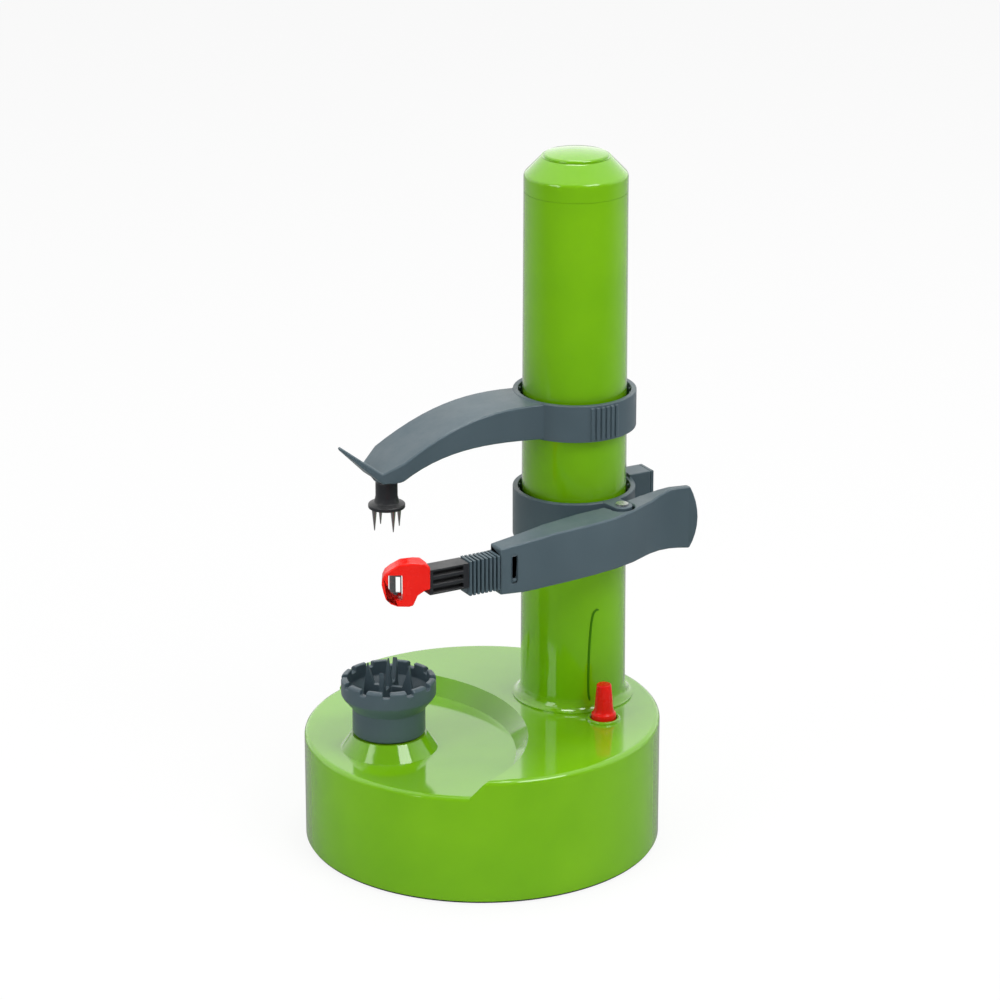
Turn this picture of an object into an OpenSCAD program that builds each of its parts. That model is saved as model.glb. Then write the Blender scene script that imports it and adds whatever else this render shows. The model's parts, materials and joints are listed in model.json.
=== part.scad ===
// Electric potato peeler. Origin: centre of the underside. +Z is up, +X runs from the food holder
// to the column. Millimetres.

/* [Base] */
// Radius of the round base
base_r = 74; // [73:1:85]
// Height of the raised platform that carries the column
platform_z = 54; // [52:1:58]
// Depth of the round recess around the food holder
recess_depth = 7; // [4:0.5:8]
// Radius of the recess at its floor
recess_r = 69; // [60:1:72]
// Wall thickness of the base shell
wall = 2.5; // [2:0.1:3]
// Height of the rubber feet
foot_h = 1.5; // [1:0.1:3]

/* [Column] */
// Distance from the base centre to the column and to the food holder
axis_x = 43.5; // [43.5:0.5:46]
// Radius of the column at its foot
column_r = 22; // [20:0.5:23]
// Bore radius of the column tube
column_bore_r = 19; // [18:0.5:20]
// Height where the tube ends and the cap starts
tube_top_z = 272; // [262:1:282]
// Width of the slot down the back of the column
slot_w = 8; // [7:0.5:9]

/* [Screw] */
// Radius over the thread of the lead screw
screw_r = 5; // [4:0.5:6]
// Pitch of the thread
thread_pitch = 4; // [3:0.5:6]

/* [Gears] */
// Tooth size: pitch diameter divided by number of teeth
gear_module = 1; // [1:0.01:1.05]
// Slack between meshing teeth
backlash = 0.45; // [0.4:0.05:0.6]
// Thickness of a gear wheel
wheel_h = 4; // [3.5:0.1:4.2]

/* [Upper arm] */
// Lower edge of the upper ring
arm_ring_z = 173; // [170:0.1:176]
// Height of the upper ring
arm_ring_h = 15.5; // [14:0.1:16]
// Width of the upper arm
arm_w = 26; // [22:1:30]
// Wall thickness of the two sliding rings
ring_wall = 2.2; // [2:0.1:3]
// Gap between the column and the rings
ring_gap = 1.2; // [1:0.1:1.5]

/* [Blade carriage] */
// Lower edge of the carriage ring
carriage_z = 125.5; // [124:0.1:128]
// Height of the carriage ring
carriage_h = 21; // [20:0.5:22]
// How far the lever swings each way
lever_swing = 12; // [8:1:12]
// Height of the blade opening
blade_window_h = 10.5; // [9:0.5:11]

/* [Start button] */
// Radius of the button collar
button_r = 6; // [5:0.5:6.5]
// Travel of the button
button_travel = 2.5; // [1.5:0.1:2.8]

/* [Hidden] */
$fn = 96;
eps = 0.01;

// Colours
green = [0.44, 0.71, 0.09];
slate = [0.30, 0.35, 0.39];
charcoal = [0.14, 0.14, 0.15];
red = [0.86, 0.09, 0.08];
steel = [0.75, 0.76, 0.78];
white_plastic = [0.90, 0.90, 0.87];
brass = [0.78, 0.63, 0.30];

// Fits and general clearances
slip = 0.1;
running_fit = 0.05;
body_gap = 0.3;
draft_gap = 0.5;

// Base shell
floor_z = platform_z - recess_depth;
shell_z = foot_h;
rim_fillet = 2;
recess_x = -61;
recess_y = 3;
recess_slope = 5;
inner_r = base_r - wall;
low_ceiling_z = floor_z - wall;
high_ceiling_z = platform_z - wall;
boss_floor_r = 20;
boss_top_r = 15.5;
boss_top_z = platform_z - 0.5;

// Fasteners
screw_shank_r = 1.4;
screw_hole_r = screw_shank_r + slip;
screw_head_r = 2.9;
screw_head_h = 1.8;
boss_r = 4;

// Bottom cover and batteries
cover_h = 2.5;
cover_top_z = shell_z + cover_h;
cover_r = inner_r - slip;
cover_lip_h = 0.8;
cover_lip_in = 0.5;
cover_lip_w = 4.5;
cover_boss_at = base_r - 7.5;
cover_boss_angles = [65, 115, 245, 295];
foot_r = 6;
foot_at = 56;
foot_angles = [45, 135, 225, 315];
cell_r = 7.15;
cell_l = 50;
cell_gap = 0.7;
cell_pitch = 2 * cell_r + cell_gap;
cell_count = 4;
cell_z = cover_top_z + cell_r + 0.3;
tray_wall = 1.8;
contact_l = 1.5;
contact_t = 0.5;
tray_half_x = cell_count * cell_pitch / 2 + 0.3;
tray_half_y = cell_l / 2 + contact_l + contact_t;
tray_top_z = cell_z + cell_r + 0.4;
door_half_x = tray_half_x - 1.5;
door_half_y = tray_half_y - 2;

// Gear train. Each wheel stands on one of three levels above the gear plate.
plate_z = 20.5;
plate_h = 2;
plate_top_z = plate_z + plate_h;
plate_r = 62;
plate_boss_at = 57.5;
plate_boss_angles = [42, 138, 222, 300];
level_step = 6;
level_1 = plate_top_z + 1.5;
level_2 = level_1 + level_step;
level_3 = level_2 + level_step;
drive_teeth = 44;
idler_gear_sum = 2 * axis_x / gear_module;
center_teeth = floor(idler_gear_sum) - drive_teeth;
center_low_teeth = 60;
pinion_teeth = 10;
idler_teeth = 40;
idler_at = gear_module * (center_low_teeth + pinion_teeth) / 2;
idler_angle = 60;
idler_pos = [idler_at * cos(idler_angle), idler_at * sin(idler_angle)];
motor_at = gear_module * (idler_teeth + pinion_teeth) / 2;
motor_angle = 140;
motor_pos = idler_pos + motor_at * [cos(motor_angle), sin(motor_angle)];
gear_hub_r = 6;
axle_r = 2;
axle_top_z = low_ceiling_z - 0.7;
shaft_r = 4;
journal_r = 3;
bush_wall = 2.5;
bush_flange = 1.5;

// Motor
motor_r = 12;
motor_z = cover_top_z + 0.3;
motor_top_z = plate_top_z + 5;
motor_shaft_r = 1;
motor_cup_wall = 1.6;

// Column
foot_blend_w = 3.4;
foot_flange_r = column_r + foot_blend_w;
foot_edge_h = 0.6;
foot_blend_h = 5.4;
foot_blend_step = 10;
column_top_r = column_r - 0.8;
cap_z = tube_top_z;
cap_h = 14.5;
chamfer_h = 7.5;
disc_r = 13.2;
chamfer_w = column_top_r - disc_r - 0.8;
disc_h = 1.8;
plug_h = 13;
plug_r = column_bore_r - slip;
slot_z = platform_z + 12;
slot_top_z = cap_z - plug_h - 2.5;
column_boss_at = column_bore_r - 2.5;
column_boss_r = 3.5;
column_boss_h = 10;
column_boss_angles = [60, 180, 300];

// Lead screw
thread_depth = 1.1;
thread_z = platform_z + 14;
thread_top_z = slot_top_z - 2;
screw_top_z = cap_z - 6;

// Food holder
cup_z = platform_z;
cup_r = 15;
cup_flare_z = cup_z + 11;
cup_rim_r = 19.5;
cup_rim_z = cup_z + 17;
cup_top_z = cup_z + 24;
cup_wall = 2.6;
cup_floor_z = cup_z + 9;
cup_notches = 12;
prong_count = 4;
prong_r = 9;

// Rings on the column
ring_bore_r = column_r + ring_gap;
ring_r = ring_bore_r + ring_wall;
guide_ribs = 24;
guide_rib_w = 1.2;
guide_rib_h = ring_gap - body_gap;
guide_rib_lead = 0.8;

// Upper arm
arm_top_a = [26, arm_ring_z + 14.8];
arm_top_b = [0, arm_ring_z + 17.5];
arm_top_c = [-20, arm_ring_z + 15];
arm_top_d = [-49.5, arm_ring_z - 4];
arm_low_a = [-43, arm_ring_z - 7.6];
arm_low_b = [-22, arm_ring_z + 4.5];
arm_low_c = [0, arm_ring_z + 2.5];
arm_low_d = [26, arm_ring_z];
arm_skin = 2.4;
lip_root = [-49.3, arm_ring_z - 8.4];
lip_end = [-64.6, arm_ring_z + 6.2];
lip_t = 1.1;
taper_x = [-42, -53];
taper_half_w = [7, 1.4];
grip_rib_angles = [-103, -98, -93, -88, -83, -78];
grip_rib_h = 0.8;
key_w = slot_w - 1;
key_z = arm_ring_z + 2;
key_h = 11.5;
key_head_w = 11;
key_head_t = 2.6;
key_head_x = axis_x + column_bore_r - 4;

// Spindle
spindle_boss_r = 5.5;
spindle_pin_r = 2;
hub_r = 4.5;
hub_top_z = arm_ring_z - 10;
hub_low_z = hub_top_z - 11.5;
pin_top_z = arm_ring_z - 5.4;
pin_head_r = 3.2;
pin_head_h = 1.6;
spindle_plate_r = 7.5;
spindle_plate_h = 1.6;
spindle_prong_l = 9;
spindle_prong_at = 5.6;

// Carriage and half nut
carriage_top_z = carriage_z + carriage_h;
pivot = [48, -31.5];
pin_r = 1.6;
lug_r = 4.2;
lug_h = 4;
lug_gap = 0.4;
head_extra = 0.5;
nut_bore_r = screw_r + body_gap;
nut_r = nut_bore_r + 4.2;
nut_z = carriage_z + 5;
nut_h = 11;
nut_stem_w = 6.4;
nut_travel = 3;
nut_end_x = axis_x + ring_r;
housing_w = 10;
housing_x = nut_end_x - 2;
housing_end_x = nut_end_x + 8.5;
housing_z = carriage_z + 2;
housing_top_z = carriage_top_z + 1.6;
nut_cover_t = 1.6;

// Peel lever
lever_low_z = carriage_z - 2.2;
lever_outer = [
    [-17, -47], [0, -46.2], [14, -45], [28, -43.2], [40, -41], [50, -37.8], [60, -33], [67, -30.3],
    [72, -29.6], [76, -30.2], [80, -31.6], [83.5, -33.4]
];
lever_inner = [
    [83.5, -29.8], [69, -24.8], [60, -23.6], [50, -26], [40, -27.5], [28, -29], [14, -32.4],
    [0, -35.6], [-17, -38.4]
];
lever_side_low = [[-17, lever_low_z + 1], [-6, lever_low_z], [62, lever_low_z - 0.3], [70, lever_low_z - 0.8]];
lever_side_top = [
    [73, lever_low_z + 25.3], [62, lever_low_z + 22.8],
    [36, lever_low_z + 22], [10, lever_low_z + 22.2], [-17, lever_low_z + 20.4]
];
lever_tail_r = 32;
lever_tail_turn = 25;
lever_tail_centre = [83.5 - lever_tail_r, lever_low_z + 12.2];
swing_step = 6;
lever_wall = 2.4;
window_x = -11.6;
window_w = 2.4;
tab_l = 7;
window_h = 11.5;

// Blade cartridge
neck_x = -17;
neck_l = 14.5;
neck_y = -43.6;
neck_z = lever_low_z + 3.4;
neck_h = 14.6;
neck_w = 8;
neck_core_w = 5;
neck_ribs = 8;
socket_l = 14;
latch_h = 2.9;
latch_base_h = 1.6;
catch_depth = 1.8;
louvre_x = neck_x - neck_l;
louvre_l = 17.5;
louvre_h = 10.5;
louvre_z = neck_z + 3.6;
louvre_w = 8;
louvre_count = 3;
louvre_depth = 2.6;
holder_x = louvre_x - louvre_l;
holder_turn = -28;
holder_h = 20.2;
holder_z = neck_z - 3;
holder_w = 8;
holder_bar = 4.6;
claw_w = 2.6;
holder_l = 17.2;
blade_window_w = 5.6;
blade_x = claw_w + blade_window_w / 2 - holder_l;
blade_w = blade_window_w - 0.8;
blade_t = 0.8;
blade_curve_r = 6;
blade_arc = 110;
blade_slot_w = 1.8;
blade_pin_r = 0.8;

// Start button
button_pos = [39.6, -32.7];
collar_h = 3;
collar_low_z = platform_z + 0.2;
button_top_z = platform_z + 16;
button_cone_r = 3.9;
button_tip_r = 3;
well_r = button_r + 0.8;
well_wall = 1.6;
well_floor_z = platform_z - 6;
well_floor_h = 1.5;
stem_r = 2.5;
stem_low_z = well_floor_z - 4;
clip_h = 0.8;
spring_r = 4.2;
spring_wire_r = 0.4;

// Micro switch
switch_size = [6.4, 12.8, 6.5];
plunger_r = 1.2;
plunger_h = 1.3;
plunger_top_z = stem_low_z - button_travel - slip;
switch_z = plunger_top_z - plunger_h - switch_size[2];
switch_angle = atan2(button_pos[1], button_pos[0]);

// Power inlet and wiring
wire_r = 0.8;
jack_angle = 30;
jack_z = plate_z - 8.5;
jack_size = [13.5, 9, 11];
jack_barrel_r = 3.6;
jack_bore_r = 2.7;

// One point of a cubic curve through a and d, pulled towards b and c
function cubic(a, b, c, d, t) =
    pow(1 - t, 3) * a + 3 * pow(1 - t, 2) * t * b + 3 * (1 - t) * t * t * c + pow(t, 3) * d;

function curve(a, b, c, d, steps = 14) = [for (i = [0 : steps]) cubic(a, b, c, d, i / steps)];

// Round arc of points from one angle to another
function arc(r, from, to, steps, at = [0, 0]) =
    [for (i = [0 : steps]) at + r * [cos(from + (to - from) * i / steps), sin(from + (to - from) * i / steps)]];

// One tooth as six points, centred on the +X side
function tooth(teeth, pitch_r) =
    let (half = (PI * gear_module - backlash) / 4,
         root_r = pitch_r - 1.25 * gear_module,
         tip_r = pitch_r + 0.85 * gear_module,
         root_half = half + 0.30 * gear_module,
         tip_half = half - 0.30 * gear_module)
    [[root_r, -root_half], [pitch_r, -half], [tip_r, -tip_half],
     [tip_r, tip_half], [pitch_r, half], [root_r, root_half]];

function turned(p, a) = [p[0] * cos(a) - p[1] * sin(a), p[0] * sin(a) + p[1] * cos(a)];

// Spur gear; start turns it so that a tooth stands at that angle
module gear(teeth, h, start = 0) {
    pitch_r = gear_module * teeth / 2;
    linear_extrude(height = h)
        polygon([for (i = [0 : teeth - 1], p = tooth(teeth, pitch_r)) turned(p, start + 360 * i / teeth)]);
}

// The same gear turned half a tooth, so that a gap stands at that angle
module gap_gear(teeth, h, start) {
    gear(teeth, h, start + 180 / teeth);
}

module tube(outer_r, inner_r, h) {
    difference() {
        cylinder(r = outer_r, h = h);
        translate([0, 0, -1]) cylinder(r = inner_r, h = h + 2);
    }
}

module at_angles(angles, radius) {
    for (a = angles) rotate([0, 0, a]) translate([radius, 0, 0]) children();
}

// Pan-head screw: z = 0 is the seat under the head, the shank points up
module pan_screw(length) {
    translate([0, 0, -screw_head_h]) cylinder(r = screw_head_r, h = screw_head_h, $fn = 32);
    cylinder(r = screw_shank_r, h = length, $fn = 32);
}

module cross_slot(depth) {
    for (a = [0, 90]) rotate([0, 0, a]) cube([3.2, 0.8, 2 * depth], center = true);
}

// Flanged plain bearing, flange on top
module bush(bore_r, h) {
    difference() {
        union() {
            cylinder(r = bore_r + bush_wall, h = h);
            translate([0, 0, h - bush_flange]) cylinder(r = bore_r + bush_wall + bush_flange, h = bush_flange);
        }
        translate([0, 0, -1]) cylinder(r = bore_r, h = h + 2);
    }
}

// Round wire wound along +Z as one closed mesh
module coil_spring(r, wire_r, length, turns) {
    sides = 8;
    rings = turns * 14;
    centre = [for (i = [0 : rings])
        [r * cos(360 * turns * i / rings), r * sin(360 * turns * i / rings), wire_r + (length - 2 * wire_r) * i / rings]];
    points = [for (i = [0 : rings], k = [0 : sides - 1])
        let (turn = 360 * turns * i / rings, side = 360 * k / sides, out = wire_r * cos(side))
        centre[i] + [out * cos(turn), out * sin(turn), wire_r * sin(side)]];
    walls = [for (i = [0 : rings - 1], k = [0 : sides - 1])
        let (n = (k + 1) % sides)
        [i * sides + k, (i + 1) * sides + k, (i + 1) * sides + n, i * sides + n]];
    start = [[for (k = [0 : sides - 1]) k]];
    end = [[for (k = [sides - 1 : -1 : 0]) rings * sides + k]];
    polyhedron(points, concat(walls, start, end));
}

// ---------------------------------------------------------------- Base

module recess_cut(extra) {
    translate([recess_x, recess_y, floor_z - extra])
        rotate_extrude()
            polygon([[0, 0], [recess_r + extra, 0], [recess_r + recess_slope + extra, recess_depth],
                     [recess_r + recess_slope + extra, recess_depth + wall], [0, recess_depth + wall]]);
}

module rim_round(z) {
    rotate_extrude()
        polygon(concat(
            [[base_r + 1, z - rim_fillet], [base_r + 1, z + 1], [base_r - rim_fillet, z + 1]],
            arc(rim_fillet, 90, 0, 6, [base_r - rim_fillet, z - rim_fillet])));
}

module base_cavity() {
    translate([0, 0, shell_z - eps]) cylinder(r = inner_r, h = low_ceiling_z - shell_z + eps);
    difference() {
        translate([0, 0, low_ceiling_z - 1]) cylinder(r = inner_r, h = high_ceiling_z - low_ceiling_z + 1);
        recess_cut(wall);
    }
}

module base_shell() {
    color(green)
    difference() {
        union() {
            difference() {
                translate([0, 0, shell_z]) cylinder(r = base_r, h = platform_z - shell_z);
                rim_round(platform_z);
                recess_cut(0);
                intersection() {
                    rim_round(floor_z);
                    translate([recess_x, recess_y, 0]) cylinder(r = recess_r, h = platform_z);
                }
                base_cavity();
            }
            translate([-axis_x, 0, low_ceiling_z])
                rotate_extrude()
                    polygon([[0, 0], [boss_floor_r, 0], [boss_floor_r, wall],
                             [boss_top_r, boss_top_z - low_ceiling_z], [0, boss_top_z - low_ceiling_z]]);
            difference() {
                union() {
                    at_angles(plate_boss_angles, plate_boss_at)
                        translate([0, 0, plate_top_z]) cylinder(r = boss_r, h = high_ceiling_z - plate_top_z + 1);
                    at_angles(cover_boss_angles, cover_boss_at)
                        translate([0, 0, cover_top_z]) cylinder(r = boss_r, h = high_ceiling_z - cover_top_z + 1);
                }
                recess_cut(wall / 2);
            }
            translate([button_pos[0], button_pos[1], well_floor_z - well_floor_h])
                cylinder(r = well_r + well_wall, h = platform_z - well_floor_z + well_floor_h - 1);
        }
        at_angles(plate_boss_angles, plate_boss_at)
            translate([0, 0, plate_top_z - 1]) cylinder(r = screw_hole_r, h = 12, $fn = 32);
        at_angles(cover_boss_angles, cover_boss_at)
            translate([0, 0, cover_top_z - 1]) cylinder(r = screw_hole_r, h = 12, $fn = 32);
        translate([-axis_x, 0, low_ceiling_z - 1]) cylinder(r = shaft_r + running_fit + bush_wall + slip, h = 20);
        translate([axis_x, 0, high_ceiling_z - 1]) cylinder(r = shaft_r + running_fit + bush_wall + slip, h = 20);
        translate([axis_x, 0, high_ceiling_z - 1])
            at_angles(column_boss_angles, column_boss_at) cylinder(r = screw_hole_r, h = 8, $fn = 32);
        translate([button_pos[0], button_pos[1], well_floor_z]) cylinder(r = well_r, h = 20);
        translate([button_pos[0], button_pos[1], well_floor_z - 5]) cylinder(r = stem_r + body_gap, h = 20, $fn = 48);
        rotate([0, 0, jack_angle]) translate([inner_r - 3, 0, jack_z])
            rotate([0, 90, 0]) cylinder(r = jack_barrel_r + slip, h = 10, $fn = 48);
    }
}

module bottom_cover() {
    tray_h = tray_top_z - cover_top_z;
    color(charcoal)
    difference() {
        union() {
            translate([0, 0, shell_z]) cylinder(r = cover_r, h = cover_h);
            translate([0, 0, shell_z - cover_lip_h])
                tube(base_r - cover_lip_in, base_r - cover_lip_w, cover_lip_h);
            translate([-tray_half_x - tray_wall, -tray_half_y - tray_wall, cover_top_z - 1])
                cube([2 * (tray_half_x + tray_wall), 2 * (tray_half_y + tray_wall), tray_h + 1]);
        }
        translate([-tray_half_x, -tray_half_y, cover_top_z])
            cube([2 * tray_half_x, 2 * tray_half_y, tray_h + 1]);
        translate([-door_half_x - slip, -door_half_y - slip, 0])
            cube([2 * (door_half_x + slip), 2 * (door_half_y + slip), cover_top_z + 1]);
        at_angles(cover_boss_angles, cover_boss_at) {
            cylinder(r = screw_hole_r, h = 10, $fn = 32);
            cylinder(r = screw_head_r + slip, h = shell_z + screw_head_h, $fn = 32);
        }
    }
}

module battery_door() {
    finger_notch_r = 8;
    lip = 1.2;
    color(green)
    difference() {
        union() {
            translate([-door_half_x, -door_half_y, shell_z]) cube([2 * door_half_x, 2 * door_half_y, cover_h]);
            for (side = [-1, 1])
                translate([side * door_half_x / 2 - 5, door_half_y - 3, cover_top_z - eps])
                    cube([10, 3 + lip, 0.25]);
        }
        translate([0, -door_half_y, shell_z - eps]) cylinder(r = finger_notch_r, h = 1.2);
    }
}

module foot() {
    rotate_extrude()
        polygon([[0, 0], [foot_r - 0.5, 0], [foot_r, 0.5], [foot_r, foot_h], [0, foot_h]]);
}

// Four feet round the cover and one in the middle of the battery door
module feet() {
    color(charcoal) {
        at_angles(foot_angles, foot_at) foot();
        foot();
    }
}

module cover_screws() {
    color(steel)
    difference() {
        at_angles(cover_boss_angles, cover_boss_at)
            translate([0, 0, shell_z + screw_head_h]) pan_screw(10.5);
        at_angles(cover_boss_angles, cover_boss_at)
            translate([0, 0, shell_z]) cross_slot(0.9);
    }
}

module batteries() {
    nub_r = 2.75;
    nub_l = 1;
    color([0.20, 0.22, 0.25])
    for (i = [0 : cell_count - 1]) {
        flip = i % 2 == 0 ? 1 : -1;
        translate([(i - (cell_count - 1) / 2) * cell_pitch, 0, cell_z])
            rotate([-90 * flip, 0, 0]) {
                translate([0, 0, -cell_l / 2]) cylinder(r = cell_r, h = cell_l);
                translate([0, 0, cell_l / 2]) cylinder(r = nub_r, h = nub_l, $fn = 48);
            }
    }
}

module battery_contacts() {
    plate_w = 11;
    dome_r = 3;
    color(steel)
    for (i = [0 : cell_count - 1], end = [-1, 1]) {
        flip = i % 2 == 0 ? 1 : -1;
        reach = flip == end ? contact_l - 1 : contact_l;
        translate([(i - (cell_count - 1) / 2) * cell_pitch, end * (tray_half_y - contact_t / 2), cell_z]) {
            cube([plate_w, contact_t, plate_w], center = true);
            rotate([90 * end, 0, 0]) cylinder(r = dome_r, h = reach + contact_t / 2, $fn = 48);
        }
    }
}

module dc_jack() {
    color(charcoal)
    rotate([0, 0, jack_angle])
    difference() {
        union() {
            translate([inner_r - jack_size[0], -jack_size[1] / 2, jack_z - jack_size[2] / 2])
                cube([jack_size[0] - draft_gap, jack_size[1], jack_size[2]]);
            translate([inner_r - 1, 0, jack_z]) rotate([0, 90, 0])
                cylinder(r = jack_barrel_r, h = base_r - inner_r + 0.6, $fn = 48);
        }
        translate([inner_r - 9, 0, jack_z]) rotate([0, 90, 0]) cylinder(r = jack_bore_r, h = 20, $fn = 48);
    }
}

// Straight piece of insulated wire between two points, run on by its own radius to fill the bend
module wire(from, to) {
    way = to - from;
    flat = norm([way[0], way[1]]);
    translate(from)
        rotate([0, atan2(flat, way[2]), atan2(way[1], way[0])])
            cylinder(r = wire_r, h = norm(way) + wire_r, $fn = 8);
}

module wire_run(points) {
    for (i = [0 : len(points) - 2]) wire(points[i], points[i + 1]);
}

module wires() {
    lead = 2.5;
    jack_in = turned([inner_r - jack_size[0] - eps, 0], jack_angle);
    jack_out = turned([inner_r - jack_size[0] - lead, 0], jack_angle);
    tray_x = tray_half_x + tray_wall + eps;
    tray_y = tray_half_y + tray_wall + eps;
    switch_end = button_pos + [3.8, -5.7];
    switch_out = (plate_r + wire_r + body_gap) / norm(button_pos) * turned([norm(button_pos), 0], switch_angle - 4);
    motor_x = motor_pos[0] + motor_r + wire_r + eps;
    color(red)
    wire_run([[jack_in[0], jack_in[1], jack_z], [jack_out[0], jack_out[1], jack_z],
              [tray_x + lead, 20, jack_z], [tray_x + wire_r, 20, jack_z]]);
    color(charcoal)
    wire_run([[tray_x, -20, jack_z], [tray_x + lead, -20, jack_z], [switch_out[0], switch_out[1], jack_z],
              [switch_out[0], switch_out[1], switch_z + 3],
              [switch_end[0], switch_end[1], switch_z + 3]]);
    color(red)
    wire_run([[tray_x - 8, tray_y, jack_z], [tray_x - 8, tray_y + lead, jack_z],
              [motor_x + lead, motor_pos[1], jack_z], [motor_x, motor_pos[1], jack_z]]);
}

module power_switch() {
    color(charcoal)
    translate([button_pos[0], button_pos[1], switch_z])
        rotate([0, 0, switch_angle]) {
            translate([-switch_size[0] / 2, -switch_size[1] / 2, 0]) cube(switch_size);
            cylinder(r = plunger_r, h = switch_size[2] + plunger_h, $fn = 32);
        }
}

// ---------------------------------------------------------------- Gear train

module gear_plate() {
    cup_r = motor_r + slip + motor_cup_wall;
    post = [6, 10];
    color(white_plastic)
    difference() {
        union() {
            translate([0, 0, plate_z]) cylinder(r = plate_r, h = plate_h);
            translate([motor_pos[0], motor_pos[1], plate_z])
                cylinder(r = cup_r, h = motor_top_z - plate_z + motor_cup_wall);
            for (p = [[0, 0], idler_pos, [axis_x, 0], [-axis_x, 0]])
                translate([p[0], p[1], plate_z]) cylinder(r = shaft_r + 1, h = level_1 - plate_z - slip);
            translate([button_pos[0], button_pos[1], plate_z]) rotate([0, 0, switch_angle])
                translate([-post[0] / 2, -post[1] / 2, 0]) cube([post[0], post[1], switch_z - plate_z]);
        }
        translate([motor_pos[0], motor_pos[1], plate_z - 1]) {
            cylinder(r = motor_r + slip, h = motor_top_z - plate_z + 1);
            cylinder(r = motor_shaft_r + 3, h = 20, $fn = 48);
        }
        for (p = [[0, 0], idler_pos])
            translate([p[0], p[1], plate_z - 1]) cylinder(r = axle_r, h = 10);
        for (x = [-axis_x, axis_x])
            translate([x, 0, plate_z - 1]) cylinder(r = journal_r + running_fit, h = 10);
        at_angles(plate_boss_angles, plate_boss_at)
            translate([0, 0, plate_z - 1]) cylinder(r = screw_hole_r, h = 10, $fn = 32);
        translate([45, -42, plate_z - 1]) cylinder(r = 1.6, h = 10, $fn = 32);
    }
}

module gear_plate_screws() {
    color(steel)
    difference() {
        at_angles(plate_boss_angles, plate_boss_at) translate([0, 0, plate_z]) pan_screw(12);
        at_angles(plate_boss_angles, plate_boss_at)
            translate([0, 0, plate_z - screw_head_h]) cross_slot(0.9);
    }
}

module gear_axles() {
    color(steel)
    for (p = [[0, 0], idler_pos])
        translate([p[0], p[1], plate_z]) cylinder(r = axle_r, h = axle_top_z - plate_z);
}

module motor() {
    terminal = [2, 0.5, 3];
    color(steel)
    difference() {
        translate([motor_pos[0], motor_pos[1], 0]) {
            translate([0, 0, motor_z]) cylinder(r = motor_r, h = motor_top_z - motor_z);
            translate([0, 0, motor_top_z - eps]) cylinder(r = motor_shaft_r + 2, h = 1.5, $fn = 48);
        }
        translate([motor_pos[0], motor_pos[1], motor_top_z - 6])
            cylinder(r = motor_shaft_r + running_fit, h = 20, $fn = 48);
    }
}

module motor_pinion() {
    color(brass)
    translate([motor_pos[0], motor_pos[1], 0]) {
        translate([0, 0, level_2]) gap_gear(pinion_teeth, wheel_h + 1, motor_angle + 180);
        translate([0, 0, motor_top_z - 5.5]) cylinder(r = motor_shaft_r, h = level_2 - motor_top_z + 5.5 + eps, $fn = 48);
    }
}

module idler_gear() {
    color(white_plastic)
    difference() {
        translate([idler_pos[0], idler_pos[1], 0]) {
            translate([0, 0, level_1]) gap_gear(pinion_teeth, level_step + eps, idler_angle + 180);
            translate([0, 0, level_2]) gear(idler_teeth, wheel_h, motor_angle);
        }
        translate([idler_pos[0], idler_pos[1], level_1 - 1]) cylinder(r = axle_r + running_fit, h = 20);
    }
}

module center_gear() {
    color(white_plastic)
    difference() {
        union() {
            translate([0, 0, level_1]) gear(center_low_teeth, wheel_h, idler_angle);
            translate([0, 0, level_1]) cylinder(r = gear_hub_r, h = 2 * level_step + wheel_h);
            translate([0, 0, level_3]) gear(center_teeth, wheel_h, 0);
        }
        translate([0, 0, level_1 - 1]) cylinder(r = axle_r + running_fit, h = 40);
    }
}

module screw_gear() {
    color(white_plastic)
    difference() {
        translate([axis_x, 0, level_3]) {
            gap_gear(drive_teeth, wheel_h, 180);
            translate([0, 0, -3]) cylinder(r = gear_hub_r + 2, h = wheel_h + 3);
        }
        translate([axis_x, 0, level_3 - 5]) cylinder(r = shaft_r, h = 20);
    }
}

module holder_gear() {
    color(white_plastic)
    translate([-axis_x, 0, 0]) {
        translate([0, 0, level_3]) gear(drive_teeth, wheel_h, 0);
        translate([0, 0, level_1]) cylinder(r = shaft_r, h = cup_z - level_1);
        translate([0, 0, plate_z]) cylinder(r = journal_r, h = level_1 - plate_z + eps);
        translate([0, 0, cup_z - eps]) cylinder(r = shaft_r, h = cup_floor_z - cup_z - 3, $fn = 6);
    }
}

module holder_bush() {
    color(brass)
    translate([-axis_x, 0, level_3 + wheel_h + 0.5])
        difference() {
            union() {
                cylinder(r = shaft_r + running_fit + bush_wall, h = boss_top_z - level_3 - wheel_h - 0.5);
                cylinder(r = shaft_r + running_fit + bush_wall + bush_flange,
                         h = low_ceiling_z - level_3 - wheel_h - 0.5);
            }
            translate([0, 0, -1]) cylinder(r = shaft_r + running_fit, h = 30);
        }
}

// ---------------------------------------------------------------- Column and lead screw

module lead_screw() {
    turns = floor((thread_top_z - thread_z) / thread_pitch);
    root_r = screw_r - thread_depth;
    color(steel)
    translate([axis_x, 0, 0])
        rotate_extrude()
            polygon(concat(
                [[0, plate_z], [journal_r, plate_z], [journal_r, level_1], [shaft_r, level_1],
                 [shaft_r, thread_z - 1], [root_r, thread_z - 0.5]],
                [for (i = [0 : turns - 1], p = [[root_r, 0], [screw_r, 1], [screw_r, 2], [root_r, 3]])
                    [p[0], thread_z + (i + p[1] / 4) * thread_pitch]],
                [[root_r, thread_top_z + 1], [journal_r, thread_top_z + 1.5], [journal_r, screw_top_z],
                 [0, screw_top_z]]));
}

module screw_bush_lower() {
    color(brass)
    translate([axis_x, 0, high_ceiling_z - 3]) bush(shaft_r + running_fit, platform_z - high_ceiling_z + 3 + bush_flange);
}

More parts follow.
